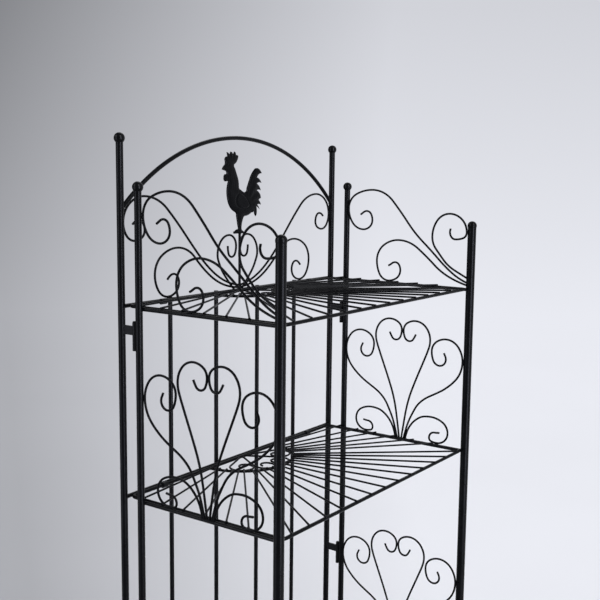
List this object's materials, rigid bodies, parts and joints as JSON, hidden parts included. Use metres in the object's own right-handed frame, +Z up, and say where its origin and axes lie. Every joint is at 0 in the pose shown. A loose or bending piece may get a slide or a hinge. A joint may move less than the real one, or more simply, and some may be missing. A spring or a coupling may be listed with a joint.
{
  "type": "bakers rack",
  "caption": "Folding bakers rack of tube and wire: arched back with rooster and scrolls, fan-scrolled side panels on pin hinges, and sunburst wire shelves that lift up against the back.",
  "frame": {"origin": "on the floor under the middle of the rack's width and depth", "axes": "+Z up, -Y the open front, +X to the right as seen from the front"},
  "size_m": [0.6346, 0.3478, 1.6322],
  "materials": {
    "painted_tube": "satin black powder coat on tube, rails and rods",
    "scroll_wire": "satin black powder coat on bent wire",
    "shelf_wire": "satin black powder coat on shelf wire",
    "rooster_paint": "satin black powder coat on sheet metal",
    "hinge_steel": "satin black, worn at the knuckles",
    "foot_plastic": "moulded black, matte"
  },
  "bodies": {
    "back_frame": {"back_post_left": "painted_tube", "back_post_right": "painted_tube", "back_finials": "painted_tube", "back_feet": "foot_plastic", "back_arch": "painted_tube", "back_rails": "painted_tube", "back_rods": "painted_tube", "crest_scrolls_large": "scroll_wire", "crest_scrolls_low": "scroll_wire", "crest_scrolls_inner": "scroll_wire", "rooster_perch": "scroll_wire", "rooster": "rooster_paint", "hinge_plates": "hinge_steel", "hinge_pins": "hinge_steel", "shelf_straps": "hinge_steel"},
    "left_panel": {"left_rear_post": "painted_tube", "left_front_post": "painted_tube", "left_side_finials": "painted_tube", "left_side_feet": "foot_plastic", "left_side_rails": "painted_tube", "left_fan_1": "scroll_wire", "left_fan_2": "scroll_wire", "left_fan_3": "scroll_wire", "left_top_scroll_large": "scroll_wire", "left_top_scroll_low": "scroll_wire", "left_top_scroll_front": "scroll_wire", "left_hinge_sleeves": "hinge_steel"},
    "right_panel": {"right_rear_post": "painted_tube", "right_front_post": "painted_tube", "right_side_finials": "painted_tube", "right_side_feet": "foot_plastic", "right_side_rails": "painted_tube", "right_fan_1": "scroll_wire", "right_fan_2": "scroll_wire", "right_fan_3": "scroll_wire", "right_top_scroll_large": "scroll_wire", "right_top_scroll_low": "scroll_wire", "right_top_scroll_front": "scroll_wire", "right_hinge_sleeves": "hinge_steel"},
    "shelf_1": {"shelf_1_rim": "shelf_wire", "shelf_1_rays": "shelf_wire", "shelf_1_lace": "shelf_wire"},
    "shelf_2": {"shelf_2_rim": "shelf_wire", "shelf_2_rays": "shelf_wire", "shelf_2_lace": "shelf_wire"},
    "shelf_3": {"shelf_3_rim": "shelf_wire", "shelf_3_rays": "shelf_wire", "shelf_3_lace": "shelf_wire"},
    "shelf_4": {"shelf_4_rim": "shelf_wire", "shelf_4_rays": "shelf_wire", "shelf_4_lace": "shelf_wire"}
  },
  "joints": [
    {"name": "left_panel_hinge", "type": "hinge", "parent": "back_frame", "child": "left_panel", "pos_m": [-0.305, 0.13242, 0.76906], "axis": [0, 0, -1], "range_deg": [0, 120]},
    {"name": "right_panel_hinge", "type": "hinge", "parent": "back_frame", "child": "right_panel", "pos_m": [0.305, 0.13242, 0.74406], "axis": [0, 0, 1], "range_deg": [0, 120]},
    {"name": "shelf_1_hinge", "type": "hinge", "parent": "back_frame", "child": "shelf_1", "pos_m": [0, 0.15552, 0.10846], "axis": [-1, 0, 0], "range_deg": [0, 88]},
    {"name": "shelf_2_hinge", "type": "hinge", "parent": "back_frame", "child": "shelf_2", "pos_m": [0, 0.15552, 0.56546], "axis": [-1, 0, 0], "range_deg": [0, 88]},
    {"name": "shelf_3_hinge", "type": "hinge", "parent": "back_frame", "child": "shelf_3", "pos_m": [0, 0.15552, 1.02246], "axis": [-1, 0, 0], "range_deg": [0, 88]},
    {"name": "shelf_4_hinge", "type": "hinge", "parent": "back_frame", "child": "shelf_4", "pos_m": [0, 0.15552, 1.34546], "axis": [-1, 0, 0], "range_deg": [0, 88]}
  ]
}
